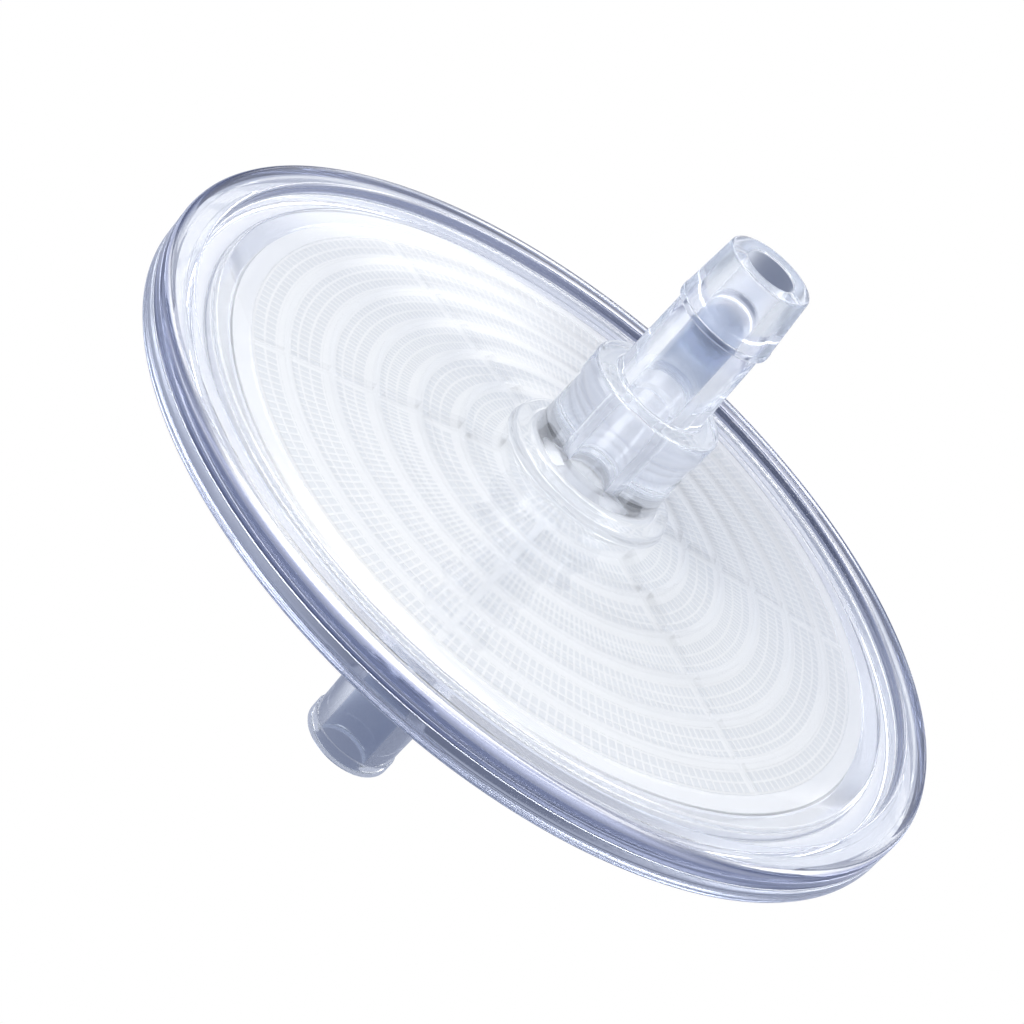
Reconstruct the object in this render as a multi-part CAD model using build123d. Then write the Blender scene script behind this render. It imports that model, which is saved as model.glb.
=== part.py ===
from build123d import *
import math
import os

os.makedirs("parts", exist_ok=True)

# In-line disc filter: two clear moulded half shells, welded to each other at the rim
# around a net screen and a membrane, with a hose port in the middle of each shell.
# The ports share the Z axis. The origin is the centre of the outlet port's mouth.
# Heights in the outlines below are measured from the weld plane, towards the port.

# Driving dimensions, in millimetres and degrees

# Rim of one shell
disc_radius = 32.0
rim_half_height = 1.65
rim_ring_width = 2.3
rim_outer_round = 0.55
channel_width = 1.6
channel_depth = 0.9
edge_break = 0.15

# Weld: the outlet shell's tongue sits in the inlet shell's groove
tongue_inset = 0.95
tongue_width = 0.7
tongue_height = 0.6
weld_clearance = 0.05

# Face: a shallow cone of even wall over the filter chamber
chamber_inset = 3.1
chamber_edge_gap = 0.15
face_slope = 7.1
face_wall = 0.9
face_edge_round = 0.3

# Membrane and net, clamped at their edge between the shells
membrane_thickness = 0.2
net_thickness = 0.25
clamp_width = 1.5
seat_clearance = 0.2

# Ribs under each face
ring_rib_count = 6
first_ring_radius = 5.8
last_ring_inset = 2.45
rib_thickness = 0.6
rib_draft = 0.1
radial_rib_count = 6
inlet_rib_gap = 0.3
flow_channel_count = 8
flow_channel_width = 1.2

# Stepped port: foot, boss, collar and neck, the same on both shells
foot_radius = 6.5
foot_rise = 0.75
foot_round = 0.35
boss_radius = 5.07
boss_height = 5.2
boss_fillet = 0.5
collar_step = 0.18
collar_height = 2.0
collar_top_round = 0.3
neck_fillet = 0.25
port_draft = 1.5

# Inlet end: a long tapered barb
inlet_neck_radius = 3.5
inlet_neck_length = 6.7
barb_radius = 3.65
barb_length = 5.0
barb_taper = 4.9
barb_round = 0.2

# Outlet end: a short rounded lip
outlet_neck_radius = 3.65
outlet_neck_length = 11.7
lip_step = 0.16
lip_length = 1.35
lip_round = 0.45

# Flow bore: wide from the mouth to the collar, narrower down to the chamber
bore_radius = 1.9
throat_radius = 1.6
throat_depth_in_collar = 0.6
throat_mouth_width = 1.3
throat_mouth_depth = 1.0

# Worked out from the driving dimensions
ring_inner_radius = disc_radius - rim_ring_width
face_radius = ring_inner_radius - channel_width
channel_floor = rim_half_height - channel_depth
chamber_radius = face_radius - chamber_inset
stack_thickness = membrane_thickness + net_thickness
seat_radius = chamber_radius + clamp_width
stack_radius = seat_radius - seat_clearance
last_ring_radius = chamber_radius - last_ring_inset
ring_rib_pitch = (last_ring_radius - first_ring_radius) / (ring_rib_count - 1)
tongue_outer_radius = disc_radius - tongue_inset
tongue_inner_radius = tongue_outer_radius - tongue_width
slope = math.tan(math.radians(face_slope))
port_lean = math.tan(math.radians(port_draft))
throat_mouth_radius = throat_radius + throat_mouth_width


def ceiling(radius):
    """Height of the chamber's ceiling at a radius."""
    edge_height = stack_thickness + chamber_edge_gap
    return edge_height + slope * (chamber_radius - radius)


def face(radius):
    """Height of the outer face at a radius."""
    return ceiling(radius) + face_wall


foot_top = face(foot_radius) + foot_rise
collar_base = foot_top + boss_height
collar_top = collar_base + collar_height
inlet_neck_top = collar_top + inlet_neck_length
outlet_neck_top = collar_top + outlet_neck_length
inlet_reach = inlet_neck_top + barb_length
outlet_reach = outlet_neck_top + lip_length


def revolved(corners):
    """Solid turned about Z from corners given as (radius, height, corner round)."""
    points = [(radius, height) for radius, height, corner_round in corners]
    rounds = [corner_round for radius, height, corner_round in corners]
    with BuildPart() as body:
        with BuildSketch(Plane.XZ):
            with BuildLine():
                FilletPolyline(*points, radius=rounds, close=True)
            make_face()
        revolve(axis=Axis.Z)
    return body.part


def rim_corners():
    """Rim, channel and the face's edge, from the seam inwards."""
    return [
        (disc_radius - edge_break, 0, 0),
        (disc_radius, edge_break, 0),
        (disc_radius, rim_half_height, rim_outer_round),
        (ring_inner_radius + edge_break, rim_half_height, 0),
        (ring_inner_radius, rim_half_height - edge_break, 0),
        (ring_inner_radius, channel_floor, 0),
        (face_radius, channel_floor, 0),
        (face_radius, face(face_radius), face_edge_round),
    ]


def neck_top_radius(neck_radius, neck_length):
    """Radius that a neck's draft leaves at its far end."""
    return neck_radius - port_lean * neck_length


def stepped_port_corners(neck_radius, neck_length):
    """Foot, boss, collar and neck, from the face upwards."""
    boss_top_radius = boss_radius - port_lean * boss_height
    collar_radius = boss_top_radius + collar_step
    return [
        (foot_radius, face(foot_radius), 0),
        (foot_radius, foot_top, foot_round),
        (boss_radius, foot_top, boss_fillet),
        (boss_top_radius, collar_base, 0),
        (collar_radius, collar_base, 0),
        (collar_radius, collar_top, collar_top_round),
        (neck_radius, collar_top, neck_fillet),
        (neck_top_radius(neck_radius, neck_length), collar_top + neck_length, 0),
    ]


def barb_corners():
    """Tapered barb at the inlet port's end."""
    tip_radius = barb_radius - barb_length * math.tan(math.radians(barb_taper))
    return [
        (barb_radius, inlet_neck_top, barb_round),
        (tip_radius, inlet_reach - edge_break, 0),
        (tip_radius - edge_break, inlet_reach, 0),
    ]


def lip_corners():
    """Short rounded lip at the outlet port's end."""
    lip_radius = neck_top_radius(outlet_neck_radius, outlet_neck_length) + lip_step
    return [
        (lip_radius, outlet_neck_top, lip_step / 2),
        (lip_radius, outlet_reach, lip_round),
    ]


def bore_corners(reach):
    """Stepped bore from the port's mouth down to the chamber's ceiling."""
    step_height = collar_top - throat_depth_in_collar
    step_drop = bore_radius - throat_radius
    mouth_height = ceiling(throat_mouth_radius)
    return [
        (bore_radius + edge_break, reach, 0),
        (bore_radius, reach - edge_break, 0),
        (bore_radius, step_height, 0),
        (throat_radius, step_height - step_drop, 0),
        (throat_radius, mouth_height + throat_mouth_depth, 0),
        (throat_mouth_radius, mouth_height, 0),
        (chamber_radius, ceiling(chamber_radius), 0),
    ]


def inlet_weld_corners():
    """Clamping face and weld groove, from the chamber outwards."""
    groove_inner_radius = tongue_inner_radius - weld_clearance
    groove_outer_radius = tongue_outer_radius + weld_clearance
    groove_depth = tongue_height + weld_clearance
    return [
        (chamber_radius, 0, 0),
        (groove_inner_radius, 0, 0),
        (groove_inner_radius, groove_depth, 0),
        (groove_outer_radius, groove_depth, 0),
        (groove_outer_radius, 0, 0),
    ]


def outlet_weld_corners():
    """Seat for the membrane and net, and the weld tongue, from the chamber outwards."""
    return [
        (chamber_radius, stack_thickness, 0),
        (seat_radius, stack_thickness, 0),
        (seat_radius, 0, 0),
        (tongue_inner_radius, 0, 0),
        (tongue_inner_radius, -tongue_height, 0),
        (tongue_outer_radius, -tongue_height, 0),
        (tongue_outer_radius, 0, 0),
    ]


def ring_ribs(tip_height):
    """Concentric ribs that hang from the ceiling down to tip_height."""
    root_half = rib_thickness / 2
    tip_half = root_half - rib_draft
    root_depth = face_wall / 2
    with BuildPart() as ribs:
        with BuildSketch(Plane.XZ):
            for index in range(ring_rib_count):
                radius = first_ring_radius + index * ring_rib_pitch
                with BuildLine():
                    Polyline(
                        (radius - tip_half, tip_height),
                        (radius + tip_half, tip_height),
                        (radius + root_half, ceiling(radius) + root_depth),
                        (radius - root_half, ceiling(radius) + root_depth),
                        close=True,
                    )
                make_face()
        revolve(axis=Axis.Z)
    return ribs.part


def radial_ribs(tip_height, start_angle):
    """Straight ribs from the first ring rib out to the chamber's wall."""
    root_depth = face_wall / 2
    outer_radius = chamber_radius + clamp_width / 2
    with BuildPart() as rib:
        with BuildSketch(Plane.XZ):
            with BuildLine():
                Polyline(
                    (first_ring_radius, tip_height),
                    (outer_radius, tip_height),
                    (outer_radius, ceiling(outer_radius) + root_depth),
                    (first_ring_radius, ceiling(first_ring_radius) + root_depth),
                    close=True,
                )
            make_face()
        extrude(amount=rib_thickness / 2, both=True)
    with BuildPart() as ribs:
        with PolarLocations(0, radial_rib_count, start_angle=start_angle):
            add(rib.part)
    return ribs.part


def flow_channels():
    """Radial gaps that let the outlet side's ring ribs drain to the bore."""
    with BuildPart() as channels:
        with PolarLocations(0, flow_channel_count):
            Box(
                chamber_radius,
                flow_channel_width,
                2 * ceiling(0),
                align=(Align.MIN, Align.CENTER, Align.CENTER),
            )
    return channels.part


def inlet_shell():
    """Upper shell: long barb, weld groove, ring ribs and radial ribs."""
    corners = rim_corners()
    corners += stepped_port_corners(inlet_neck_radius, inlet_neck_length)
    corners += barb_corners() + bore_corners(inlet_reach) + inlet_weld_corners()
    spoke_angle = 180 / radial_rib_count
    shell = revolved(corners)
    shell += ring_ribs(inlet_rib_gap)
    shell += radial_ribs(inlet_rib_gap, spoke_angle)
    return Pos(0, 0, outlet_reach) * shell


def outlet_shell():
    """Lower shell, turned over: short lip, weld tongue and ring ribs with gaps."""
    corners = rim_corners()
    corners += stepped_port_corners(outlet_neck_radius, outlet_neck_length)
    corners += lip_corners() + bore_corners(outlet_reach) + outlet_weld_corners()
    shell = revolved(corners)
    shell += ring_ribs(stack_thickness) - flow_channels()
    return Pos(0, 0, outlet_reach) * Rot(180, 0, 0) * shell


def stack_disc(top_depth, thickness):
    """Flat disc of the clamped stack, with its top that far below the weld plane."""
    disc = Cylinder(stack_radius, thickness, align=(Align.CENTER, Align.CENTER, Align.MAX))
    return Pos(0, 0, outlet_reach - top_depth) * disc


parts = {
    "inlet_shell": inlet_shell(),
    "outlet_shell": outlet_shell(),
    "support_net": stack_disc(0, net_thickness),
    "filter_membrane": stack_disc(net_thickness, membrane_thickness),
}

for name, shape in parts.items():
    export_step(shape, f"parts/{name}.step")
    print(name, "volume", round(shape.volume, 2), "mm3")
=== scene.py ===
import math

import bmesh
import bpy
import mathutils
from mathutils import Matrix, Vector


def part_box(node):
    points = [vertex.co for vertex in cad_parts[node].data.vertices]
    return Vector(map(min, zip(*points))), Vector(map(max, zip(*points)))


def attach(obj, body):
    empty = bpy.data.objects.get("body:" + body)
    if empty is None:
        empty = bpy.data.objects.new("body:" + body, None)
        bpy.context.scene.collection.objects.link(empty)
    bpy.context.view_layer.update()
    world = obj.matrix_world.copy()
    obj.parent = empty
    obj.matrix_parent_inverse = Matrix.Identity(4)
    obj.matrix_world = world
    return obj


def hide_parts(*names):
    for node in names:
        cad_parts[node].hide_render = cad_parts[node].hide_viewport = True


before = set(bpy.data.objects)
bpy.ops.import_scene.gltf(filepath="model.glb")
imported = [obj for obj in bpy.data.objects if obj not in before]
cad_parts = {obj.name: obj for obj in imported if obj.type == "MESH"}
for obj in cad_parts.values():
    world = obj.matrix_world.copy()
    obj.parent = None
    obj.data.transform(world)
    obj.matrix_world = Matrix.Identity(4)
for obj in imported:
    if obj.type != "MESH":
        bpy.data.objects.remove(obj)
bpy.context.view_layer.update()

# In-line disc filter: two clear moulded shells, a white net and a white membrane between
# them. The object stands on its outlet port, with the ports along the Z axis.

# Sizes in millimetres, measured from the weld plane along the port's own direction

MM = 0.001

inlet_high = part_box("inlet_shell")[1]
outlet_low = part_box("outlet_shell")[0]
net_low, net_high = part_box("support_net")
membrane_low, membrane_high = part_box("filter_membrane")

disc_radius = inlet_high[0] / MM
weld_height = net_high[2] / MM
inlet_reach = inlet_high[2] / MM - weld_height
outlet_reach = weld_height - outlet_low[2] / MM
net_thickness = (net_high[2] - net_low[2]) / MM
membrane_thickness = (membrane_high[2] - membrane_low[2]) / MM
stack_radius = net_high[0] / MM

# Rim of one shell
rim_half_height = 1.65
rim_ring_width = 2.3
rim_outer_round = 0.55
rim_inner_round = 0.3
channel_width = 1.6
channel_depth = 0.9
channel_round = 0.15
edge_round = 0.1

# Weld
tongue_inset = 0.95
tongue_width = 0.7
tongue_height = 0.6
weld_clearance = 0.05
contact_gap = 0.01

# Face and chamber
chamber_inset = 3.1
chamber_edge_gap = 0.15
face_slope = 7.1
face_wall = 0.9
face_edge_round = 0.3
sink_depth = 0.04
seat_clearance = 0.2

# Ribs under each face
ring_rib_count = 6
first_ring_radius = 5.8
last_ring_inset = 2.45
rib_thickness = 0.6
rib_draft = 0.1
radial_rib_count = 6
inlet_rib_gap = 0.3
flow_channel_count = 8
flow_channel_width = 1.2

# Stepped port
foot_radius = 6.5
foot_rise = 0.75
foot_round = 0.35
foot_fillet = 0.2
boss_radius = 5.07
boss_height = 5.2
boss_fillet = 0.5
boss_top_fillet = 0.06
collar_step = 0.18
collar_height = 2.0
collar_base_round = 0.08
collar_top_round = 0.3
neck_fillet = 0.25
port_draft = 1.5

# Inlet barb and outlet lip
inlet_neck_radius = 3.5
inlet_neck_length = 6.7
barb_radius = 3.65
barb_taper = 4.9
barb_round = 0.18
barb_line_height = 0.5
barb_line_size = 0.05
barb_tip_round = 0.2
outlet_neck_radius = 3.65
outlet_neck_length = 11.7
lip_step = 0.16
lip_round = 0.45

# Flow bore
bore_radius = 1.9
bore_mouth_round = 0.15
throat_radius = 1.6
throat_depth_in_collar = 0.6
throat_mouth_width = 1.3
throat_mouth_depth = 1.0
throat_round = 0.3

# Net, with its heights as shares of its thickness
net_ring_pitch = 0.84
net_inner_radius = 3.0
net_edge_width = 1.3
net_thread_width = 0.24
net_crown_width = 0.16
net_land_width = 1.0
net_land_spoke_width = 0.6
net_spoke_count = 224
net_sheet_level = 0.84
net_low_level = 0.9
net_ring_level = 0.95
net_spoke_level = 0.97
net_land_spoke_level = 0.985

# Half the width of the net's sheet, as a share of its radius, leaves a pinhole at the axis
net_sheet_share = 0.499

# Fineness of the meshes
turn_steps = 360
net_steps = 180
membrane_steps = 240
sink_points = 8
arc_steps = 4
merge_distance = 0.001
crisp_angle = 32

# Worked out from the sizes above
stack_thickness = membrane_thickness + net_thickness
ring_inner_radius = disc_radius - rim_ring_width
face_radius = ring_inner_radius - channel_width
channel_floor = rim_half_height - channel_depth
chamber_radius = face_radius - chamber_inset
seat_radius = stack_radius + seat_clearance
last_ring_radius = chamber_radius - last_ring_inset
ring_rib_pitch = (last_ring_radius - first_ring_radius) / (ring_rib_count - 1)
slope = math.tan(math.radians(face_slope))
port_lean = math.tan(math.radians(port_draft))
throat_mouth_radius = throat_radius + throat_mouth_width
tongue_outer_radius = disc_radius - tongue_inset
tongue_inner_radius = tongue_outer_radius - tongue_width
radial_rib_reach = chamber_radius + chamber_inset / 4
net_ring_room = stack_radius - net_edge_width - net_inner_radius


def ceiling(radius):
    """Height of the chamber's ceiling at a radius."""
    return stack_thickness + chamber_edge_gap + slope * (chamber_radius - radius)


def face(radius):
    """Height of the outer face at a radius."""
    return ceiling(radius) + face_wall


# Outlines, as corners of (radius, height, corner round)

foot_top = face(foot_radius) + foot_rise
collar_base = foot_top + boss_height
collar_top = collar_base + collar_height


def rim_corners():
    """Rim, channel and the face's edge, from the seam inwards."""
    return [
        (disc_radius, contact_gap, edge_round),
        (disc_radius, rim_half_height, rim_outer_round),
        (ring_inner_radius, rim_half_height, rim_inner_round),
        (ring_inner_radius, channel_floor, channel_round),
        (face_radius, channel_floor, channel_round),
        (face_radius, face(face_radius), face_edge_round),
    ]


def sink_corners():
    """Shallow sink marks that the ring ribs leave in the outer face, from the edge inwards."""
    count = ring_rib_count * sink_points
    pitch = ring_rib_pitch / sink_points
    outermost = last_ring_radius + ring_rib_pitch / 2
    corners = []
    for step in range(count):
        radius = outermost - pitch * step
        if radius < foot_radius + foot_round:
            break
        wave = 0.5 - 0.5 * math.cos(2 * math.pi * step / sink_points)
        corners.append((radius, face(radius) - sink_depth * wave, 0))
    return corners


def port_corners(neck_radius, neck_length):
    """Foot, boss, collar and neck, from the face upwards."""
    boss_top_radius = boss_radius - port_lean * boss_height
    collar_radius = boss_top_radius + collar_step
    neck_top_radius = neck_radius - port_lean * neck_length
    return [
        (foot_radius, face(foot_radius), foot_fillet),
        (foot_radius, foot_top, foot_round),
        (boss_radius, foot_top, boss_fillet),
        (boss_top_radius, collar_base, boss_top_fillet),
        (collar_radius, collar_base, collar_base_round),
        (collar_radius, collar_top, collar_top_round),
        (neck_radius, collar_top, neck_fillet),
        (neck_top_radius, collar_top + neck_length, 0),
    ]


def barb_corners():
    """Tapered barb at the inlet port's end."""
    barb_base = collar_top + inlet_neck_length
    barb_length = inlet_reach - barb_base
    barb_lean = math.tan(math.radians(barb_taper))
    line_radius = barb_radius - barb_line_height * barb_lean
    return [
        (barb_radius, barb_base, barb_round),
        (line_radius + barb_line_size, barb_base + barb_line_height, barb_line_size / 2),
        (line_radius, barb_base + barb_line_height + barb_line_size, barb_line_size / 2),
        (barb_radius - barb_length * barb_lean, inlet_reach, barb_tip_round),
    ]


def lip_corners():
    """Short rounded lip at the outlet port's end."""
    lip_radius = outlet_neck_radius - port_lean * outlet_neck_length + lip_step
    return [
        (lip_radius, collar_top + outlet_neck_length, lip_step / 2),
        (lip_radius, outlet_reach, lip_round),
    ]


def bore_corners(reach):
    """Stepped bore from the port's mouth down to the chamber's ceiling."""
    step_height = collar_top - throat_depth_in_collar
    step_drop = bore_radius - throat_radius
    mouth_height = ceiling(throat_mouth_radius)
    return [
        (bore_radius, reach, bore_mouth_round),
        (bore_radius, step_height, 0),
        (throat_radius, step_height - step_drop, 0),
        (throat_radius, mouth_height + throat_mouth_depth, throat_round),
        (throat_mouth_radius, mouth_height, throat_round),
        (chamber_radius, ceiling(chamber_radius), edge_round),
    ]


def inlet_weld_corners():
    """Clamping face and weld groove, from the chamber outwards."""
    groove_inner_radius = tongue_inner_radius - weld_clearance
    groove_outer_radius = tongue_outer_radius + weld_clearance
    groove_depth = tongue_height + weld_clearance
    return [
        (chamber_radius, contact_gap, 0),
        (groove_inner_radius, contact_gap, 0),
        (groove_inner_radius, groove_depth, 0),
        (groove_outer_radius, groove_depth, 0),
        (groove_outer_radius, contact_gap, 0),
    ]


def outlet_weld_corners():
    """Seat for the membrane and net, and the weld tongue, from the chamber outwards."""
    seat_height = stack_thickness + contact_gap
    return [
        (chamber_radius, seat_height, 0),
        (seat_radius, seat_height, 0),
        (seat_radius, contact_gap, 0),
        (tongue_inner_radius, contact_gap, 0),
        (tongue_inner_radius, -tongue_height, 0),
        (tongue_outer_radius, -tongue_height, 0),
        (tongue_outer_radius, contact_gap, 0),
    ]


def arc_points(before, corner, after, corner_round):
    """Points of the round that replaces a corner of an outline."""
    if corner_round == 0:
        return [corner]
    to_before = (before - corner).normalized()
    to_after = (after - corner).normalized()
    half_angle = math.acos(max(-1, min(1, to_before.dot(to_after)))) / 2
    reach = corner_round / math.tan(half_angle)
    middle = (to_before + to_after).normalized()
    centre = corner + middle * (corner_round / math.sin(half_angle))
    start = corner + to_before * reach - centre
    end = corner + to_after * reach - centre
    turn = start.angle_signed(end)
    points = []
    for step in range(arc_steps + 1):
        leg = start.copy()
        leg.rotate(mathutils.Matrix.Rotation(-turn * step / arc_steps, 2))
        points.append(centre + leg)
    return points


def outline_points(corners):
    """Outline as (radius, height) points, with every rounded corner drawn as an arc."""
    spots = [mathutils.Vector((radius, height)) for radius, height, corner_round in corners]
    points = []
    for index, corner in enumerate(spots):
        before = spots[index - 1]
        after = spots[(index + 1) % len(spots)]
        points += arc_points(before, corner, after, corners[index][2])
    return points


# Node helpers


class Graph:
    """A node tree under construction."""

    def __init__(self, group):
        self.group = group
        self.entry = None

    def input(self, name, kind):
        """Adds a named input of the tree."""
        self.group.interface.new_socket(name, in_out="INPUT", socket_type="NodeSocket" + kind)

    def output(self, name, kind):
        """Adds a named output of the tree."""
        self.group.interface.new_socket(name, in_out="OUTPUT", socket_type="NodeSocket" + kind)

    def start(self):
        """Places the group input once all the named inputs are there."""
        self.entry = self.group.nodes.new("NodeGroupInput")

    def value(self, name):
        """Socket of a named input."""
        return self.entry.outputs[name]

    def add(self, kind, settings=None, **sockets):
        """Adds a node, sets its properties and feeds its sockets by name."""
        node = self.group.nodes.new(kind)
        for name, value in (settings or {}).items():
            setattr(node, name, value)
        for name, value in sockets.items():
            self.feed(node.inputs[name.replace("_", " ")], value)
        return node

    def feed(self, socket, value):
        """Links a socket, or sets its value."""
        if isinstance(value, bpy.types.NodeSocket):
            self.group.links.new(value, socket)
        else:
            socket.default_value = value

    def math(self, operation, first, second=0.0):
        """One number worked out from one or two others."""
        node = self.group.nodes.new("ShaderNodeMath")
        node.operation = operation
        self.feed(node.inputs[0], first)
        self.feed(node.inputs[1], second)
        return node.outputs[0]

    def choose(self, switch, no, yes):
        """One of two numbers, or a blend of both, by a switch from 0 to 1."""
        node = self.group.nodes.new("ShaderNodeMix")
        self.feed(node.inputs[0], switch)
        self.feed(node.inputs[2], no)
        self.feed(node.inputs[3], yes)
        return node.outputs[0]

    def soft_step(self, number, middle, half_width):
        """Rises from 0 to 1 while a number passes a middle value."""
        past = self.math("SUBTRACT", number, middle)
        node = self.add(
            "ShaderNodeMapRange", {"interpolation_type": "SMOOTHSTEP"},
            Value=past, From_Min=-half_width, From_Max=half_width,
        )
        return node.outputs[0]

    def tint(self, share, first, second):
        """Blend of two colours."""
        node = self.group.nodes.new("ShaderNodeMix")
        node.data_type = "RGBA"
        self.feed(node.inputs["Factor"], share)
        for name, colour in (("A", first), ("B", second)):
            colour = (*colour, 1) if isinstance(colour, tuple) else colour
            self.feed(node.inputs[name], colour)
        return node.outputs["Result"]


class Tree(Graph):
    """A geometry node tree under construction, with its named inputs listed by kind."""

    def __init__(self, name, inputs):
        super().__init__(bpy.data.node_groups.new(name, "GeometryNodeTree"))
        self.input("Geometry", "Geometry")
        self.output("Geometry", "Geometry")
        for kind, socket_names in inputs.items():
            for socket_name in socket_names:
                self.input(socket_name, kind)
        self.input("Material", "Material")
        self.start()

    def place(self, mesh, radius, angle, height):
        """Sets every point's place from its radius, angle and height."""
        across = self.math("MULTIPLY", radius, self.math("COSINE", angle))
        along = self.math("MULTIPLY", radius, self.math("SINE", angle))
        spot = self.add("ShaderNodeCombineXYZ", X=across, Y=along, Z=height)
        moved = self.add("GeometryNodeSetPosition", Geometry=mesh, Position=spot.outputs[0])
        return moved.outputs[0]

    def closed(self, mesh):
        """Closes the seams of a mesh."""
        gap = merge_distance * MM
        return self.add("GeometryNodeMergeByDistance", Geometry=mesh, Distance=gap).outputs[0]

    def flipped(self, mesh):
        """Turns a mesh's faces the other way."""
        return self.add("GeometryNodeFlipFaces", Mesh=mesh).outputs[0]

    def copies(self, mesh, count):
        """Several copies of a mesh, and the number of each copy."""
        one = self.add("GeometryNodeGeometryToInstance", Geometry=mesh).outputs[0]
        many = self.add(
            "GeometryNodeDuplicateElements", {"domain": "INSTANCE"}, Geometry=one, Amount=count
        )
        numbered = self.store(many.outputs[0], "copy", many.outputs[1], "INSTANCE")
        real = self.add("GeometryNodeRealizeInstances", Geometry=numbered)
        return real.outputs[0], self.named("copy")

    def named(self, name):
        """Field of a stored whole number."""
        return self.add("GeometryNodeInputNamedAttribute", {"data_type": "INT"}, Name=name).outputs[0]

    def store(self, mesh, name, value, domain="POINT"):
        """Stores a whole number on every point or instance."""
        node = self.add(
            "GeometryNodeStoreNamedAttribute",
            {"data_type": "INT", "domain": domain},
            Geometry=mesh,
            Name=name,
            Value=value,
        )
        return node.outputs[0]

    def finish(self, mesh, material):
        """Ends the tree with real, smooth geometry of one material."""
        real = self.add("GeometryNodeRealizeInstances", Geometry=mesh).outputs[0]
        smooth = self.add("GeometryNodeSetShadeSmooth", Geometry=real).outputs[0]
        painted = self.add("GeometryNodeSetMaterial", Geometry=smooth, Material=material).outputs[0]
        exit_node = self.group.nodes.new("NodeGroupOutput")
        self.group.links.new(painted, exit_node.inputs[0])


def turned(tree, outline, points, steps, closing_rows=1):
    """Surface turned about Z from the points of an outline mesh."""
    rows = tree.math("ADD", points, closing_rows)
    columns = tree.math("ADD", steps, 1)
    grid = tree.add("GeometryNodeMeshGrid", Vertices_X=rows, Vertices_Y=columns).outputs[0]
    index = tree.add("GeometryNodeInputIndex").outputs[0]
    row = tree.math("FLOOR", tree.math("DIVIDE", index, columns))
    column = tree.math("SUBTRACT", index, tree.math("MULTIPLY", row, columns))
    angle = tree.math("MULTIPLY", tree.math("DIVIDE", column, steps), 2 * math.pi)
    spot = tree.add("GeometryNodeInputPosition").outputs[0]
    sample = tree.add(
        "GeometryNodeSampleIndex",
        {"data_type": "FLOAT_VECTOR", "domain": "POINT"},
        Geometry=outline,
        Value=spot,
        Index=tree.math("MODULO", row, points),
    )
    parts = tree.add("ShaderNodeSeparateXYZ", Vector=sample.outputs[0])
    placed = tree.place(grid, parts.outputs["X"], angle, parts.outputs["Z"])
    return tree.closed(tree.flipped(placed))


def ring_bars(tree, radius_of, tip_half, root_half, tip, root_of, count, steps):
    """Rings of four-sided section about Z, one for each copy. Corners 0 and 1 are at the tip
    and 2 and 3 at the root, with 1 and 2 on the outer side. The last row closes the section."""
    rows = 5
    columns = tree.math("ADD", steps, 1)
    grid = tree.add("GeometryNodeMeshGrid", Vertices_X=rows, Vertices_Y=columns).outputs[0]
    index = tree.add("GeometryNodeInputIndex").outputs[0]
    row = tree.math("FLOOR", tree.math("DIVIDE", index, columns))
    marked = tree.store(grid, "corner", tree.math("MODULO", row, rows - 1))
    column = tree.math("SUBTRACT", index, tree.math("MULTIPLY", row, columns))
    marked = tree.store(marked, "step", column)
    rings, copy = tree.copies(marked, count)
    corner = tree.named("corner")
    outer = tree.math("COMPARE", corner, 1.5)
    outer.node.inputs[2].default_value = 0.6
    rooted = tree.math("GREATER_THAN", corner, 1.5)
    half = tree.choose(rooted, tip_half, root_half)
    side = tree.choose(outer, tree.math("MULTIPLY", half, -1), half)
    middle = radius_of(copy)
    height = tree.choose(rooted, tip, root_of(middle))
    angle = tree.math("MULTIPLY", tree.math("DIVIDE", tree.named("step"), steps), 2 * math.pi)
    placed = tree.place(rings, tree.math("ADD", middle, side), angle, height)
    return tree.closed(tree.flipped(placed))


def spoke_bars(tree, inner, outer, halves, low, high_of, count, start_angle, spacing):
    """Straight bars set out like spokes. Their half widths are (low side, high side)."""
    box = tree.add("GeometryNodeMeshCube").outputs[0]
    bars, copy = tree.copies(box, count)
    spot = tree.add("GeometryNodeInputPosition").outputs[0]
    parts = tree.add("ShaderNodeSeparateXYZ", Vector=spot)
    far = tree.math("GREATER_THAN", parts.outputs["X"], 0)
    left = tree.math("GREATER_THAN", parts.outputs["Y"], 0)
    top = tree.math("GREATER_THAN", parts.outputs["Z"], 0)
    reach = tree.choose(far, inner(copy), outer)
    half_width = tree.choose(top, *halves)
    across = tree.choose(left, tree.math("MULTIPLY", half_width, -1), half_width)
    height = tree.choose(top, low, high_of(reach))
    flat = tree.add("ShaderNodeCombineXYZ", X=reach, Y=across, Z=height).outputs[0]
    angle = tree.math("ADD", start_angle, tree.math("MULTIPLY", copy, spacing))
    turn = tree.add(
        "ShaderNodeVectorRotate", {"rotation_type": "Z_AXIS"}, Vector=flat, Angle=angle
    )
    moved = tree.add("GeometryNodeSetPosition", Geometry=bars, Position=turn.outputs[0])
    return moved.outputs[0]


def joined(tree, operation, first, others):
    """Union or difference of closed meshes."""
    node = tree.add("GeometryNodeMeshBoolean", {"operation": operation, "solver": "MANIFOLD"})
    if operation == "DIFFERENCE":
        tree.feed(node.inputs["Mesh 1"], first)
    else:
        others = [first] + others
    for other in others:
        tree.group.links.new(other, node.inputs["Mesh 2"])
    return node.outputs[0]


SHELL_INPUTS = {
    "Int": ("Outline Points", "Steps", "Ring Count", "Spoke Count"),
    "Float": (
        "First Ring Radius", "Ring Pitch", "Rib Half Width", "Rib Draft", "Rib Tip Height",
        "Root Height At Axis", "Slope", "Spoke Spacing", "Spoke Start", "Spoke Reach",
        "Spoke Half Width",
    ),
}


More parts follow.
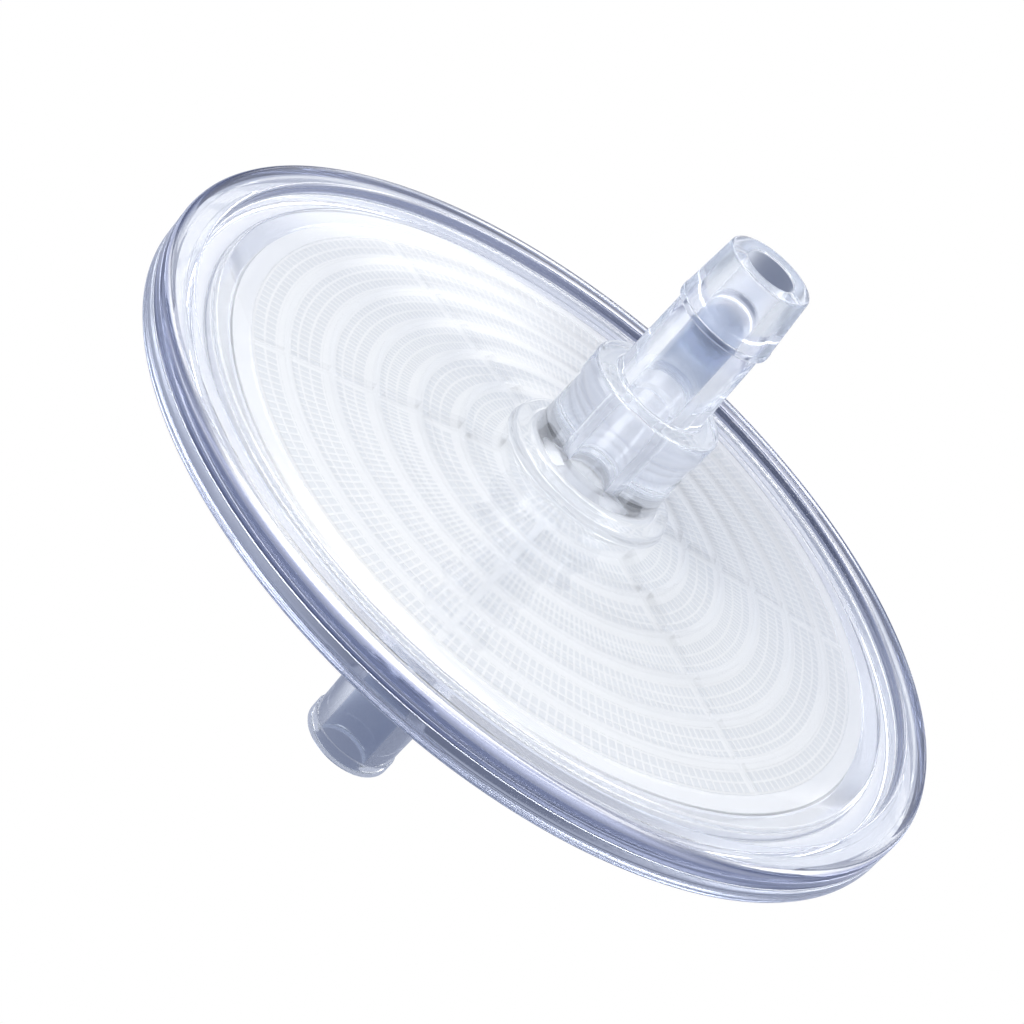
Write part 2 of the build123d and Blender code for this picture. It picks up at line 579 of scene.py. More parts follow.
def shell_tree(name, with_radial_ribs):
    """Tree of one shell: a turned wall with ring ribs, and radial ribs or flow channels."""
    tree = Tree(name, SHELL_INPUTS)
    value = tree.value

    def root_height(radius):
        fall = tree.math("MULTIPLY", value("Slope"), radius)
        return tree.math("SUBTRACT", value("Root Height At Axis"), fall)

    def ring_radius(copy):
        gone = tree.math("MULTIPLY", copy, value("Ring Pitch"))
        return tree.math("ADD", value("First Ring Radius"), gone)

    wall = turned(tree, value("Geometry"), value("Outline Points"), value("Steps"))
    tip_half = tree.math("SUBTRACT", value("Rib Half Width"), value("Rib Draft"))
    rings = ring_bars(
        tree, ring_radius, tip_half, value("Rib Half Width"), value("Rib Tip Height"),
        root_height, value("Ring Count"), value("Steps"),
    )
    if with_radial_ribs:
        spokes = spoke_bars(
            tree, lambda copy: value("First Ring Radius"), value("Spoke Reach"),
            (tip_half, value("Spoke Half Width")), value("Rib Tip Height"), root_height,
            value("Spoke Count"), value("Spoke Start"), value("Spoke Spacing"),
        )
        body = joined(tree, "UNION", wall, [rings, spokes])
    else:
        slot_floor = -MM
        slots = spoke_bars(
            tree, lambda copy: 0.0, value("Spoke Reach"),
            (value("Spoke Half Width"), value("Spoke Half Width")), slot_floor,
            lambda reach: value("Root Height At Axis"), value("Spoke Count"),
            value("Spoke Start"), value("Spoke Spacing"),
        )
        cut_rings = joined(tree, "DIFFERENCE", rings, [slots])
        body = joined(tree, "UNION", wall, [cut_rings])
    tree.finish(body, value("Material"))
    return tree.group


NET_INPUTS = {
    "Int": ("Ring Count", "Spoke Count", "Land Count", "Land Spoke Count", "Steps"),
    "Float": (
        "Inner Radius", "Outer Radius", "Ring Pitch", "Thread Half Width", "Crown Half Width",
        "Sheet Height", "Ring Height", "Spoke Height", "Edge Half Width", "Edge Height",
        "Land Radius", "Land Pitch", "Land Half Width", "Land Spoke Half Width",
        "Land Spoke Height",
    ),
}


def net_tree(name):
    """Tree of the net: a thin sheet with raised ring threads and spoke threads, plain lands
    below the shell's ribs, and an edge. Each family has its own height, so that no two tops
    lie in one plane."""
    tree = Tree(name, NET_INPUTS)
    value = tree.value
    below = tree.math("MULTIPLY", value("Sheet Height"), 0.5)
    sheet_half = tree.math("MULTIPLY", value("Outer Radius"), net_sheet_share)
    sheet_middle = tree.math("SUBTRACT", value("Outer Radius"), sheet_half)
    edge_radius = tree.math("SUBTRACT", value("Outer Radius"), value("Edge Half Width"))

    def thread_radius(copy):
        gone = tree.math("MULTIPLY", copy, value("Ring Pitch"))
        return tree.math("ADD", value("Inner Radius"), gone)

    def spoke_start(copy):
        """One spoke in four starts near the axis and one twice as far out, so none crowd."""
        near = value("Inner Radius")
        odd = tree.math("GREATER_THAN", tree.math("MODULO", copy, 2), 0.5)
        skipped = tree.math("GREATER_THAN", tree.math("MODULO", copy, 4), 1.5)
        shorter = tree.choose(skipped, near, tree.math("MULTIPLY", near, 2))
        return tree.choose(odd, shorter, tree.math("MULTIPLY", near, 4))

    def land_radius(copy):
        gone = tree.math("MULTIPLY", copy, value("Land Pitch"))
        return tree.math("ADD", value("Land Radius"), gone)

    sheet = ring_bars(
        tree, lambda copy: sheet_middle, sheet_half, sheet_half, 0.0,
        lambda middle: value("Sheet Height"), 1, value("Steps"),
    )
    rings = ring_bars(
        tree, thread_radius, value("Thread Half Width"), value("Crown Half Width"), below,
        lambda middle: value("Ring Height"), value("Ring Count"), value("Steps"),
    )
    band = ring_bars(
        tree, lambda copy: edge_radius, value("Edge Half Width"), value("Edge Half Width"), below,
        lambda middle: value("Edge Height"), 1, value("Steps"),
    )
    lands = ring_bars(
        tree, land_radius, value("Land Half Width"), value("Land Half Width"), below,
        lambda middle: value("Edge Height"), value("Land Count"), value("Steps"),
    )
    land_spacing = tree.math("DIVIDE", 2 * math.pi, value("Land Spoke Count"))
    land_halves = (value("Land Spoke Half Width"), value("Land Spoke Half Width"))
    land_spokes = spoke_bars(
        tree, lambda copy: value("Land Radius"), edge_radius, land_halves, below,
        lambda reach: value("Land Spoke Height"), value("Land Spoke Count"),
        tree.math("MULTIPLY", land_spacing, 0.5), land_spacing,
    )
    spacing = tree.math("DIVIDE", 2 * math.pi, value("Spoke Count"))
    spokes = spoke_bars(
        tree, spoke_start, edge_radius, (value("Thread Half Width"), value("Crown Half Width")),
        below, lambda reach: value("Spoke Height"), value("Spoke Count"), 0.0, spacing,
    )
    net = tree.add("GeometryNodeJoinGeometry")
    for part in (band, rings, spokes, lands, land_spokes, sheet):
        tree.group.links.new(part, net.inputs[0])
    tree.finish(net.outputs[0], value("Material"))
    return tree.group


# Making pieces


def outline_object(name, points):
    """Object that carries an outline's points for a tree to turn."""
    mesh = bpy.data.meshes.new(name)
    mesh.from_pydata([(p.x * MM, 0, p.y * MM) for p in points], [], [])
    piece = bpy.data.objects.new(name, mesh)
    bpy.context.collection.objects.link(piece)
    return piece


def grown(piece, tree, values):
    """Runs a tree on a piece with named inputs and keeps the result as its plain mesh."""
    modifier = piece.modifiers.new("grow", "NODES")
    modifier.node_group = tree
    for item in tree.interface.items_tree:
        if item.in_out == "INPUT" and item.name in values:
            modifier[item.identifier] = values[item.name]
    ready = piece.evaluated_get(bpy.context.evaluated_depsgraph_get())
    mesh = bpy.data.meshes.new_from_object(ready)
    mesh.name = piece.name
    piece.modifiers.remove(modifier)
    piece.data = mesh
    return piece


def put(piece, turn_over, height):
    """Moves a piece's mesh from the weld plane to its place."""
    matrix = mathutils.Matrix.Translation((0, 0, height * MM))
    if turn_over:
        matrix = matrix @ mathutils.Matrix.Rotation(math.pi, 4, "X")
    piece.data.transform(matrix)
    piece.data.update()


def crisp(piece):
    """Keeps real edges crisp and everything rounder smooth."""
    piece.data.set_sharp_from_angle(angle=math.radians(crisp_angle))


def check_outward(piece):
    """Turns the faces outwards if the mesh came out with a negative volume."""
    work = bmesh.new()
    work.from_mesh(piece.data)
    if work.calc_volume(signed=True) < 0:
        bmesh.ops.reverse_faces(work, faces=work.faces)
        work.to_mesh(piece.data)
    work.free()


def settle(piece, turn_over, height):
    """Checks a piece's faces, puts it in its place and keeps its edges crisp."""
    check_outward(piece)
    put(piece, turn_over, height)
    crisp(piece)


def make_shell(name, corners, with_radial_ribs, rib_tip, spokes, reach, material):
    """One clear shell, grown from its outline. Its spokes are ribs or channels, by
    (count, start angle, width)."""
    spoke_count, spoke_start, spoke_width = spokes
    points = outline_points(corners)
    piece = outline_object(name, points)
    values = {
        "Outline Points": len(points),
        "Steps": turn_steps,
        "First Ring Radius": first_ring_radius * MM,
        "Ring Pitch": ring_rib_pitch * MM,
        "Ring Count": ring_rib_count,
        "Rib Half Width": rib_thickness / 2 * MM,
        "Rib Draft": rib_draft * MM,
        "Rib Tip Height": rib_tip * MM,
        "Root Height At Axis": (ceiling(0) + face_wall / 2) * MM,
        "Slope": slope,
        "Spoke Count": spoke_count,
        "Spoke Spacing": 2 * math.pi / spoke_count,
        "Spoke Start": spoke_start,
        "Spoke Reach": reach * MM,
        "Spoke Half Width": spoke_width / 2 * MM,
        "Material": material,
    }
    return grown(piece, shell_tree(name + "_tree", with_radial_ribs), values)


# Materials


def shader_group(name, inputs, outputs):
    """Empty shader node group with named number inputs and outputs."""
    graph = Graph(bpy.data.node_groups.new(name, "ShaderNodeTree"))
    for socket_name in inputs:
        graph.input(socket_name, "Float")
    for socket_name in outputs:
        graph.output(socket_name, "Float")
    graph.start()
    return graph


def close_group(graph, results):
    """Feeds a group's outputs and returns the group."""
    leave = graph.group.nodes.new("NodeGroupOutput")
    for name, socket in results.items():
        graph.feed(leave.inputs[name], socket)
    return graph.group


def placed_group(graph, group, values):
    """Places a group in a material with its own values."""
    node = graph.add("ShaderNodeGroup", {"node_tree": group})
    for name, value in values.items():
        node.inputs[name].default_value = value
    return node


# Edges of the zones on a clear shell, in metres or as shares of a radius
RIB_ZONE_MARGIN = 0.0003
BORE_SHADE_RISE = 0.0012
BORE_SHADE_FALL = 0.0004
SATIN_EDGE = 0.0002
BORE_SHARE = 1.03
RIM_WALL_SHARE = 0.98
THREAD_EDGE = 0.000005

# Streaks: how far their pattern changes round a turn, and how much it shifts the edge of the rim
# wall's painted shade
STREAK_TURN = 2.0
STREAK_SHIFT = 0.5


def moulding_marks_and_painted_shade():
    """Marks of a mould on a clear shell: flow streaks along the turns, frosted walls inside
    the bore and the funnel, softer ribs under the face and a satin port end; and painted
    shade: darker tints in the bore and on the rim's upright wall, which stand in for the dark
    that a clear wall shows."""
    graph = shader_group(
        "moulding_marks_and_painted_shade",
        (
            "Seam Height", "Port Way", "Disc Radius", "Rim Height", "Bore Radius",
            "Chamber Radius", "Ceiling At Axis", "Slope", "Funnel Radius", "Funnel Depth",
            "Funnel Frost", "Funnel Openness", "Streak Scale", "Wave Scale",
            "Streak Share", "Polish", "Frost", "Rib Softness", "Painted Shade Reach", "Painted Shade Steepness",
            "Bore Painted Shade Start", "Bore Painted Shade End", "Bore Painted Shade Past End", "Satin Start", "Satin",
        ),
        ("Height", "Roughness", "Rim Wall Painted Shade", "See Through", "Bore Painted Shade"),
    )
    value = graph.value
    spot = graph.add("ShaderNodeTexCoord").outputs["Object"]
    parts = graph.add("ShaderNodeSeparateXYZ", Vector=spot)
    flat = graph.add("ShaderNodeCombineXYZ", X=parts.outputs["X"], Y=parts.outputs["Y"])
    length = graph.add("ShaderNodeVectorMath", {"operation": "LENGTH"}, Vector=flat.outputs[0])
    radius = length.outputs["Value"]
    rise = graph.math("SUBTRACT", parts.outputs["Z"], value("Seam Height"))
    height = graph.math("MULTIPLY", rise, value("Port Way"))
    around = graph.add("ShaderNodeVectorMath", {"operation": "NORMALIZE"}, Vector=flat.outputs[0])
    turns = graph.add("ShaderNodeVectorMath", {"operation": "SCALE"}, Vector=around.outputs[0])
    turns.inputs["Scale"].default_value = STREAK_TURN
    sideways = graph.math("ADD", radius, height)
    lift = graph.math("MULTIPLY", sideways, value("Streak Scale"))
    lifted = graph.add("ShaderNodeCombineXYZ", Z=lift)
    along = graph.add("ShaderNodeVectorMath", {"operation": "ADD"})
    graph.feed(along.inputs[0], turns.outputs[0])
    graph.feed(along.inputs[1], lifted.outputs[0])
    streaks = graph.add("ShaderNodeTexNoise", Vector=along.outputs[0], Scale=1.0, Detail=1.0)
    waves = graph.add("ShaderNodeTexNoise", Vector=spot, Scale=value("Wave Scale"), Detail=0.0)
    relief = graph.choose(value("Streak Share"), waves.outputs[0], streaks.outputs[0])

    bore_edge = graph.math("MULTIPLY", value("Bore Radius"), BORE_SHARE)
    in_bore = graph.math("LESS_THAN", radius, bore_edge)
    in_chamber = graph.math("LESS_THAN", radius, value("Chamber Radius"))
    fall = graph.math("MULTIPLY", radius, value("Slope"))
    ceiling_height = graph.math("SUBTRACT", value("Ceiling At Axis"), fall)
    under = graph.math("LESS_THAN", height, graph.math("ADD", ceiling_height, RIB_ZONE_MARGIN))
    in_funnel = graph.math("LESS_THAN", radius, value("Funnel Radius"))
    funnel_top = graph.math("ADD", ceiling_height, value("Funnel Depth"))
    funnel = graph.math("MULTIPLY", in_funnel, graph.math("LESS_THAN", height, funnel_top))
    half_open = graph.math("MULTIPLY", funnel, value("Funnel Openness"))
    rib_zone = graph.math("MULTIPLY", in_chamber, under)
    see_through = graph.math("MAXIMUM", rib_zone, half_open)

    # Painted shade: a darker tint on the rim's upright wall, which stands in for the dark that the
    # clear wall shows; the streaks make its edge uneven
    wall_start = graph.math("MULTIPLY", value("Disc Radius"), RIM_WALL_SHARE)
    outer = graph.math("GREATER_THAN", radius, wall_start)
    level = graph.math("DIVIDE", height, value("Rim Height"))
    centred = graph.math("SUBTRACT", streaks.outputs[0], 0.5)
    uneven = graph.math("MULTIPLY", centred, STREAK_SHIFT)
    left = graph.math("SUBTRACT", value("Painted Shade Reach"), graph.math("ADD", level, uneven))
    fade = graph.math("MULTIPLY", left, value("Painted Shade Steepness"))
    fade.node.use_clamp = True
    rim_wall_shade = graph.math("MULTIPLY", outer, fade)

    # Painted shade: a darker tint inside the bore, which stands in for the dark that the clear bore
    # shows
    begun = graph.soft_step(height, value("Bore Painted Shade Start"), BORE_SHADE_RISE)
    over = graph.soft_step(height, value("Bore Painted Shade End"), BORE_SHADE_FALL)
    past = graph.choose(over, 1.0, value("Bore Painted Shade Past End"))
    bore_shade = graph.math("MULTIPLY", in_bore, graph.math("MULTIPLY", begun, past))

    varied = graph.math("MULTIPLY", value("Polish"), graph.math("ADD", streaks.outputs[0], 0.5))
    satin_zone = graph.soft_step(height, value("Satin Start"), SATIN_EDGE)
    outside = graph.choose(satin_zone, varied, value("Satin"))
    soft = graph.choose(rib_zone, outside, value("Rib Softness"))
    frosted = graph.choose(in_bore, soft, value("Frost"))
    rough = graph.choose(funnel, frosted, value("Funnel Frost"))
    results = {
        "Height": relief, "Roughness": rough, "Rim Wall Painted Shade": rim_wall_shade, "See Through": see_through,
        "Bore Painted Shade": bore_shade,
    }
    return close_group(graph, results)


def fibre_grain():
    """Fine random grain for matt white materials."""
    graph = shader_group("fibre_grain", ("Grain Scale", "Cloud Scale"), ("Height", "Shade"))
    spot = graph.add("ShaderNodeTexCoord").outputs["Object"]
    grain = graph.add("ShaderNodeTexNoise", Vector=spot, Scale=graph.value("Grain Scale"), Detail=3.0)
    cloud = graph.add("ShaderNodeTexNoise", Vector=spot, Scale=graph.value("Cloud Scale"), Detail=2.0)
    shade = graph.choose(0.5, grain.outputs[0], cloud.outputs[0])
    return close_group(graph, {"Height": grain.outputs[0], "Shade": shade})


def new_material(name):
    """Empty node material as a graph, and its main shader."""
    material = bpy.data.materials.new(name)
    material.use_nodes = True
    return material, Graph(material.node_tree), material.node_tree.nodes["Principled BSDF"]


# Clear plastic: its tones, and the numbers of surfaces and mirrors after which a ray goes
# straight through, which keeps the net bright and the render short
CLEAR_TONE = (0.98, 0.985, 1.0)
LAMP_TONE = (0.98, 0.985, 0.99, 1)
DEPTH_TONE = (0.55, 0.65, 0.85, 1)
MOST_SURFACES = 5.5
MOST_MIRRORS = 2.5
SEE_THROUGH_ALPHA = 0.1


def clear_plastic(name, marks_and_shade, port_way, wall_shade, bore_shade, satin_start, bump_depth):
    """Clear moulded plastic that lets lamps through. The rim wall's painted shade, a darker tint
    that stands in for the dark a clear wall shows, is given by (colour, reach, steepness), and
    the bore's painted shade by (colour, start height, end height, share past end). From
    satin_start outwards the port has a satin finish."""
    wall_shade_colour, wall_reach, wall_steepness = wall_shade
    bore_shade_colour, bore_start, bore_end, bore_past_end = bore_shade
    material, graph, shader = new_material(name)
    links = material.node_tree.links
    out = material.node_tree.nodes["Material Output"]
    shader.inputs["IOR"].default_value = 1.5
    shader.inputs["Transmission Weight"].default_value = 0.97
    finish_and_shade = placed_group(graph, marks_and_shade, {
        "Seam Height": weld_height * MM,
        "Port Way": port_way,
        "Disc Radius": disc_radius * MM,
        "Rim Height": rim_half_height * MM,
        "Bore Radius": bore_radius * MM,
        "Chamber Radius": chamber_radius * MM,
        "Ceiling At Axis": ceiling(0) * MM,
        "Slope": slope,
        "Funnel Radius": (throat_mouth_radius + throat_round) * MM,
        "Funnel Depth": (throat_mouth_depth + throat_round) * MM,
        "Funnel Frost": 0.4,
        "Funnel Openness": 0.6,
        "Streak Scale": 700.0,
        "Wave Scale": 250.0,
        "Streak Share": 0.5,
        "Polish": 0.03,
        "Frost": 0.09,
        "Rib Softness": 0.14,
        "Painted Shade Reach": wall_reach,
        "Painted Shade Steepness": wall_steepness,
        "Bore Painted Shade Start": bore_start * MM,
        "Bore Painted Shade End": bore_end * MM,
        "Bore Painted Shade Past End": bore_past_end,
        "Satin Start": satin_start * MM,
        "Satin": 0.12,
    })
    # Base colour: the clear tone, with painted shade on the rim wall and in the bore
    body = graph.tint(finish_and_shade.outputs["Rim Wall Painted Shade"], CLEAR_TONE, wall_shade_colour)
    body = graph.tint(finish_and_shade.outputs["Bore Painted Shade"], body, bore_shade_colour)
    links.new(body, shader.inputs["Base Color"])
    links.new(finish_and_shade.outputs["Roughness"], shader.inputs["Roughness"])
    clear = graph.choose(finish_and_shade.outputs["See Through"], 1.0, SEE_THROUGH_ALPHA)
    links.new(clear, shader.inputs["Alpha"])
    bump = graph.add("ShaderNodeBump", Height=finish_and_shade.outputs["Height"], Distance=bump_depth)
    links.new(bump.outputs[0], shader.inputs["Normal"])
    open_way = graph.add("ShaderNodeBsdfTransparent", Color=LAMP_TONE)
    path = graph.add("ShaderNodeLightPath")
    deep = graph.math("GREATER_THAN", path.outputs["Ray Depth"], MOST_SURFACES)
    mirrored = graph.math("GREATER_THAN", path.outputs["Glossy Depth"], MOST_MIRRORS)
    lit = graph.math("MAXIMUM", path.outputs["Is Shadow Ray"], path.outputs["Is Diffuse Ray"])
    passing = graph.math("MAXIMUM", lit, graph.math("MAXIMUM", deep, mirrored))
    mix = graph.add("ShaderNodeMixShader")
    links.new(passing, mix.inputs[0])
    links.new(shader.outputs[0], mix.inputs[1])
    links.new(open_way.outputs[0], mix.inputs[2])
    links.new(mix.outputs[0], out.inputs["Surface"])
    depth_tint = graph.add("ShaderNodeVolumeAbsorption", Color=DEPTH_TONE, Density=25.0)
    links.new(depth_tint.outputs[0], out.inputs["Volume"])
    return material


def white_polymer(
    name, grain, colours, roughness, grain_scale, cloud_scale, bump_depth, recess_shade=None
):
    """Matt white polymer with a fine grain. Below a height the ground gets its own darker colour,
    a painted shade that stands in for the shade between raised threads, given by (height,
    colour)."""
    material, graph, shader = new_material(name)
    links = material.node_tree.links
    scales = {"Grain Scale": grain_scale, "Cloud Scale": cloud_scale}
    fine = placed_group(graph, grain, scales)
    shade = graph.tint(fine.outputs["Shade"], *colours)
    if recess_shade:
        recess_shade_height, recess_shade_colour = recess_shade
        spot = graph.add("ShaderNodeTexCoord").outputs["Object"]
        height = graph.add("ShaderNodeSeparateXYZ", Vector=spot).outputs["Z"]
        raised = graph.soft_step(height, recess_shade_height * MM, THREAD_EDGE)
        # Painted shade: the ground below the threads' height is darker
        shade = graph.tint(raised, recess_shade_colour, shade)
    links.new(shade, shader.inputs["Base Color"])
    bump = graph.add("ShaderNodeBump", Height=fine.outputs["Height"], Distance=bump_depth)
    links.new(bump.outputs[0], shader.inputs["Normal"])
    shader.inputs["Roughness"].default_value = roughness
    return material


# Mould marks, and the masks of the painted shade on the clear shells
marks_and_shade = moulding_marks_and_painted_shade()
grain = fibre_grain()

# Painted shade for the inlet: a navy tint over most of the rim wall's height, fading at its top, and
# a blue-grey tint in the bore from above the collar to the barb
inlet_wall_shade = ((0.12, 0.14, 0.25), 1.05, 6.0)
barb_base = collar_top + inlet_neck_length
inlet_bore_shade = ((0.34, 0.4, 0.53), collar_top + 2.2, barb_base, 0.1)
inlet_clear = clear_plastic(
    "inlet_clear", marks_and_shade, port_way=1.0, wall_shade=inlet_wall_shade, bore_shade=inlet_bore_shade,
    satin_start=barb_base + 0.3, bump_depth=0.0000015,
)

# Painted shade for the outlet: a navy tint on the rim wall, deepening away from the seam, and a pale
# blue-grey tint in the bore from above the collar to the lip
outlet_wall_shade = ((0.13, 0.155, 0.25), -3.2, -0.25)
outlet_bore_shade = ((0.6, 0.66, 0.78), collar_top + 1.5, outlet_reach, 1.0)
no_satin = 2 * outlet_reach
outlet_clear = clear_plastic(
    "outlet_clear", marks_and_shade, port_way=-1.0, wall_shade=outlet_wall_shade,
    bore_shade=outlet_bore_shade, satin_start=no_satin, bump_depth=0.0000006,
)

net_shades = ((0.87, 0.875, 0.88), (0.94, 0.94, 0.945))
# Painted shade in the net's recesses: the sheet between the raised threads is darker
net_recess_shade_height = weld_height - (1 - net_low_level) * net_thickness
net_recess_shade = (net_recess_shade_height, (0.76, 0.775, 0.8))
net_polymer = white_polymer(
    "net_polymer", grain, net_shades, roughness=0.35, grain_scale=3000.0, cloud_scale=300.0,
    bump_depth=0.000003, recess_shade=net_recess_shade,
)

membrane_shades = ((0.86, 0.865, 0.87), (0.93, 0.93, 0.93))
membrane_polymer = white_polymer(
    "membrane_polymer", grain, membrane_shades, roughness=0.8, grain_scale=6000.0,
    cloud_scale=400.0, bump_depth=0.000006,
)

# The filter's pieces

inlet_corners = rim_corners() + sink_corners()
inlet_corners += port_corners(inlet_neck_radius, inlet_neck_length)
inlet_corners += barb_corners() + bore_corners(inlet_reach) + inlet_weld_corners()
inlet = make_shell(
    "clear_inlet_shell", inlet_corners, with_radial_ribs=True, rib_tip=inlet_rib_gap,
    spokes=(radial_rib_count, math.pi / radial_rib_count, rib_thickness),
    reach=radial_rib_reach, material=inlet_clear,
)
settle(inlet, turn_over=False, height=weld_height)

outlet_corners = rim_corners() + sink_corners()
outlet_corners += port_corners(outlet_neck_radius, outlet_neck_length)
outlet_corners += lip_corners() + bore_corners(outlet_reach) + outlet_weld_corners()
outlet = make_shell(
    "clear_outlet_shell", outlet_corners, with_radial_ribs=False,
    rib_tip=stack_thickness + contact_gap,
    spokes=(flow_channel_count, 0.0, flow_channel_width),
    reach=chamber_radius, material=outlet_clear,
)
settle(outlet, turn_over=True, height=weld_height)

net = outline_object("white_net", [mathutils.Vector((0, 0))])
grown(net, net_tree("net_tree"), {
    "Inner Radius": net_inner_radius * MM,
    "Outer Radius": stack_radius * MM,
    "Ring Pitch": net_ring_pitch * MM,
    "Ring Count": int(net_ring_room / net_ring_pitch) + 1,
    "Thread Half Width": net_thread_width / 2 * MM,
    "Crown Half Width": net_crown_width / 2 * MM,
    "Sheet Height": net_thickness * net_sheet_level * MM,
    "Ring Height": net_thickness * net_ring_level * MM,
    "Spoke Height": net_thickness * net_spoke_level * MM,
    "Spoke Count": net_spoke_count,
    "Edge Half Width": net_edge_width / 2 * MM,
    "Edge Height": net_thickness * MM,
    "Land Radius": first_ring_radius * MM,
    "Land Pitch": ring_rib_pitch * MM,
    "Land Count": ring_rib_count,
    "Land Half Width": net_land_width / 2 * MM,
    "Land Spoke Count": radial_rib_count,
    "Land Spoke Half Width": net_land_spoke_width / 2 * MM,
    "Land Spoke Height": net_thickness * net_land_spoke_level * MM,
    "Steps": net_steps,
    "Material": net_polymer,
})
put(net, turn_over=False, height=weld_height - net_thickness)
crisp(net)


def disc_tree(name):
    """Tree of a flat disc, turned from its outline."""
    tree = Tree(name, {"Int": ("Outline Points", "Steps")})
    value = tree.value
    disc = turned(
        tree, value("Geometry"), value("Outline Points"), value("Steps"), closing_rows=0
    )
    tree.finish(disc, value("Material"))
    return tree.group


disc_corners = [
    mathutils.Vector((0, 0)),
    mathutils.Vector((stack_radius, 0)),
    mathutils.Vector((stack_radius, membrane_thickness)),
    mathutils.Vector((0, membrane_thickness)),
]
membrane = outline_object("white_membrane", disc_corners)
grown(membrane, disc_tree("disc_tree"), {
    "Outline Points": len(disc_corners),
    "Steps": membrane_steps,
    "Material": membrane_polymer,
})
settle(membrane, turn_over=False, height=weld_height - stack_thickness)

for piece, node, slot_name in (
    (inlet, "inlet_shell", "inlet_shell_clear"),
    (outlet, "outlet_shell", "outlet_shell_clear"),
    (net, "support_net", "net_white"),
    (membrane, "filter_membrane", "membrane_white"),
):
    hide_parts(node)
    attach(piece, "root")

# Floor, world and lights

SLATE = (0.12, 0.14, 0.24)
DARK_BLUE = (0.14, 0.17, 0.26)
DULL_BLUE = (0.22, 0.25, 0.35)
BLUE_GREY = (0.4, 0.45, 0.6)
SOFT_BLUE = (0.5, 0.54, 0.66)
PALE_BLUE = (0.7, 0.74, 0.84)
PALE_GREY = (0.9, 0.91, 0.93)
SOFT_GREY = (0.64, 0.65, 0.67)
WHITE = (1.0, 1.0, 1.0)
GLARE = (1.7, 1.7, 1.7)
BRIGHT = (4.0, 4.0, 4.0)
IVORY = (3.6, 3.35, 2.8)
STRIP = (9.0, 9.0, 9.0)


def colour_ramp(graph, share, stops):
    """Colour ramp from (position, colour) stops."""
    node = graph.add("ShaderNodeValToRGB", Fac=share)
    ramp = node.color_ramp
    ramp.interpolation = "EASE"
    while len(ramp.elements) < len(stops):
        ramp.elements.new(0.5)
    for element, (position, colour) in zip(ramp.elements, stops):
        element.position = position
        element.color = (*colour, 1)
    return node.outputs[0]


def soft_patch(graph, spot, middle, size):
    """Soft spot on the floor or sky: 1 in its middle and 0 from its edge outwards."""
    away = graph.add("ShaderNodeVectorMath", {"operation": "DISTANCE"})
    graph.feed(away.inputs[0], spot)
    away.inputs[1].default_value = middle
    node = graph.add(
        "ShaderNodeMapRange", {"interpolation_type": "SMOOTHSTEP"},
        Value=away.outputs["Value"], From_Min=size / 3, From_Max=size, To_Min=1, To_Max=0,
    )
    return node.outputs[0]


def screened(graph, path, seen):
    """White for the camera itself and an even grey for matt parts, so that only the clear
    parts show what is seen."""
    seen = graph.tint(path.outputs["Is Diffuse Ray"], seen, SOFT_GREY)
    return graph.tint(path.outputs["Is Camera Ray"], seen, WHITE)


floor_size = 3.0
bpy.ops.mesh.primitive_circle_add(vertices=64, radius=floor_size, fill_type="NGON")
floor = bpy.context.object
floor.name = "floor"
floor_material, floor_graph, floor_shader = new_material("floor")
floor_material.node_tree.nodes.remove(floor_shader)
floor_spot = floor_graph.add("ShaderNodeTexCoord").outputs["Object"]
floor_path = floor_graph.add("ShaderNodeLightPath")
behind = soft_patch(floor_graph, floor_spot, (0.011, 0.083, 0), 0.034)
under = soft_patch(floor_graph, floor_spot, (0.009, 0.004, 0), 0.026)
beside = soft_patch(floor_graph, floor_spot, (-0.14, -0.05, 0), 0.07)
card = floor_graph.tint(behind, PALE_BLUE, DARK_BLUE)
card = floor_graph.tint(under, card, DULL_BLUE)
mirrored = floor_graph.tint(beside, SOFT_BLUE, BRIGHT)
seen = floor_graph.tint(floor_path.outputs["Is Reflection Ray"], card, mirrored)
seen = screened(floor_graph, floor_path, seen)
floor_light = floor_graph.add("ShaderNodeEmission", Color=seen)
floor_graph.group.links.new(
    floor_light.outputs[0], floor_graph.group.nodes["Material Output"].inputs["Surface"]
)
floor.data.materials.append(floor_material)

world = bpy.data.worlds.new("studio")
bpy.context.scene.world = world
world.use_nodes = True
sky_graph = Graph(world.node_tree)
direction = sky_graph.add("ShaderNodeTexCoord").outputs["Generated"]
split = sky_graph.add("ShaderNodeSeparateXYZ", Vector=direction)
sky = colour_ramp(
    sky_graph, split.outputs["Z"],
    (
        (0.0, SLATE), (0.12, SLATE), (0.3, BLUE_GREY), (0.5, PALE_GREY), (0.7, GLARE),
        (0.82, GLARE), (0.98, BLUE_GREY),
    ),
)
for card_way, card_size, card_colour in (
    ((-0.2, 0.96, 0.2), 0.2, GLARE),
    ((-0.13, 0.55, 0.82), 0.24, IVORY),
    ((0.3, 0.94, 0.17), 0.09, GLARE),
):
    card = soft_patch(sky_graph, direction, card_way, card_size)
    sky = sky_graph.tint(card, sky, card_colour)
sky_path = sky_graph.add("ShaderNodeLightPath")
strip_low = 0.8
strip_high = 0.9
strip_edge = 0.03
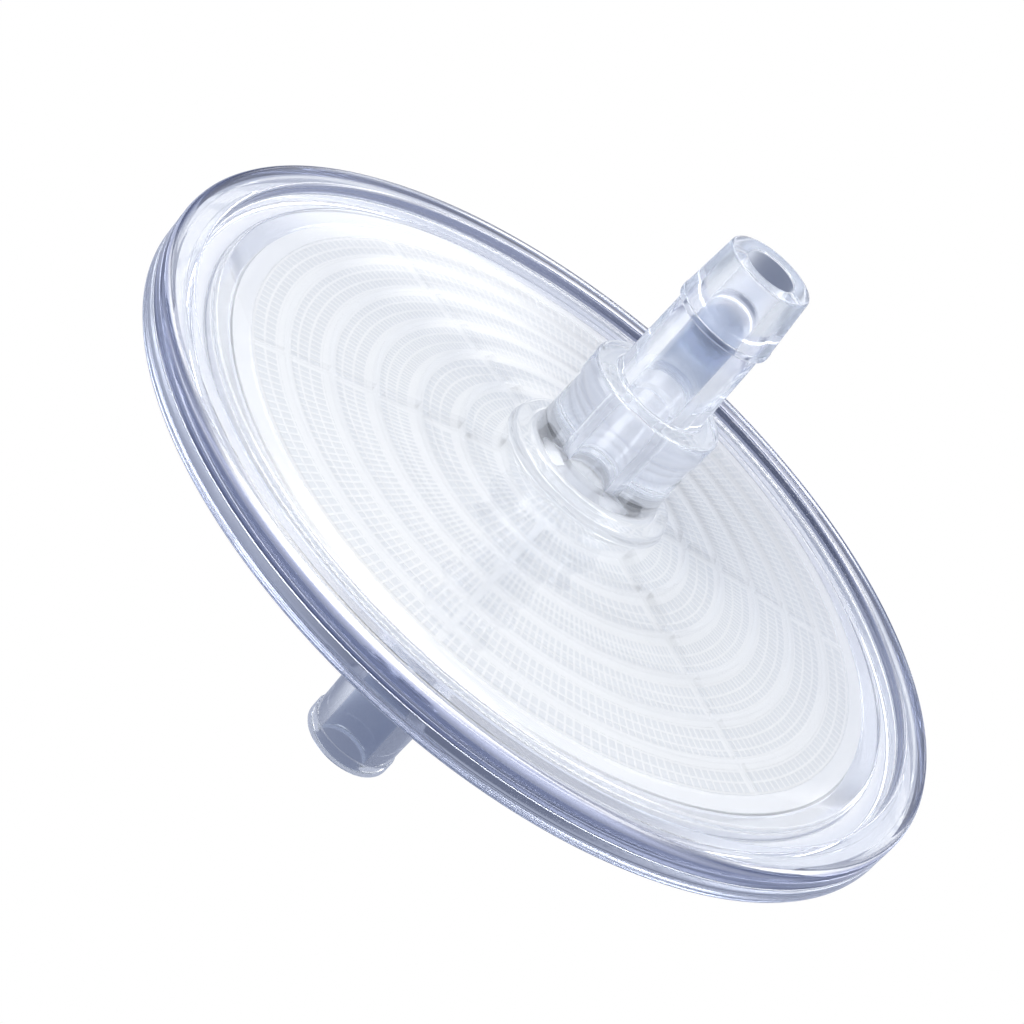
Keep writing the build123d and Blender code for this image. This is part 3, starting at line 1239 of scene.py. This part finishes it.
strip_begun = sky_graph.soft_step(split.outputs["Z"], strip_low, strip_edge)
strip_over = sky_graph.soft_step(split.outputs["Z"], strip_high, strip_edge)
strip = sky_graph.math("SUBTRACT", strip_begun, strip_over)
strip = sky_graph.math("MULTIPLY", strip, sky_path.outputs["Is Reflection Ray"])
sky = sky_graph.tint(strip, sky, STRIP)
sky = screened(sky_graph, sky_path, sky)
background = world.node_tree.nodes["Background"]
sky_graph.feed(background.inputs["Color"], sky)
background.inputs["Strength"].default_value = 1.0


def soft_light(name, place, target, size, power):
    """Large soft square light that looks at a point."""
    data = bpy.data.lights.new(name, "AREA")
    data.shape = "SQUARE"
    data.size = size
    data.energy = power
    lamp = bpy.data.objects.new(name, data)
    lamp.location = place
    aim = mathutils.Vector(target) - lamp.location
    lamp.rotation_euler = aim.to_track_quat("-Z", "Y").to_euler()
    bpy.context.collection.objects.link(lamp)


middle = mathutils.Vector((0, 0, weld_height * MM))
soft_light("key_light", (-0.2, -0.25, 0.36), middle, 0.25, 0.66)
soft_light("fill_light", (-0.35, 0.25, 0.42), middle, 0.4, 0.6)

# Camera

camera_elevation = math.radians(26.4)
camera_roll = math.radians(42.1)
camera_distance = 0.204
aim_shift = 0.0028
lens_length = 105.5
sensor_width = 36

camera_data = bpy.data.cameras.new("camera")
camera_data.lens = lens_length
camera_data.sensor_width = sensor_width
camera_data.sensor_fit = "AUTO"
camera_data.clip_start = 0.01
camera = bpy.data.objects.new("camera", camera_data)
bpy.context.collection.objects.link(camera)
away = mathutils.Vector((0, -math.cos(camera_elevation), math.sin(camera_elevation)))
right = mathutils.Vector((1, 0, 0))
up = right.cross(-away)
rolled_right = right * math.cos(camera_roll) + up * math.sin(camera_roll)
camera.location = middle + away * camera_distance
look = (middle - rolled_right * aim_shift - camera.location).normalized()
look_right = (rolled_right - look * rolled_right.dot(look)).normalized()
turn = mathutils.Matrix((look_right, look_right.cross(look), -look)).transposed()
camera.rotation_euler = turn.to_euler()
bpy.context.scene.camera = camera
bpy.context.scene.view_settings.view_transform = "Standard"
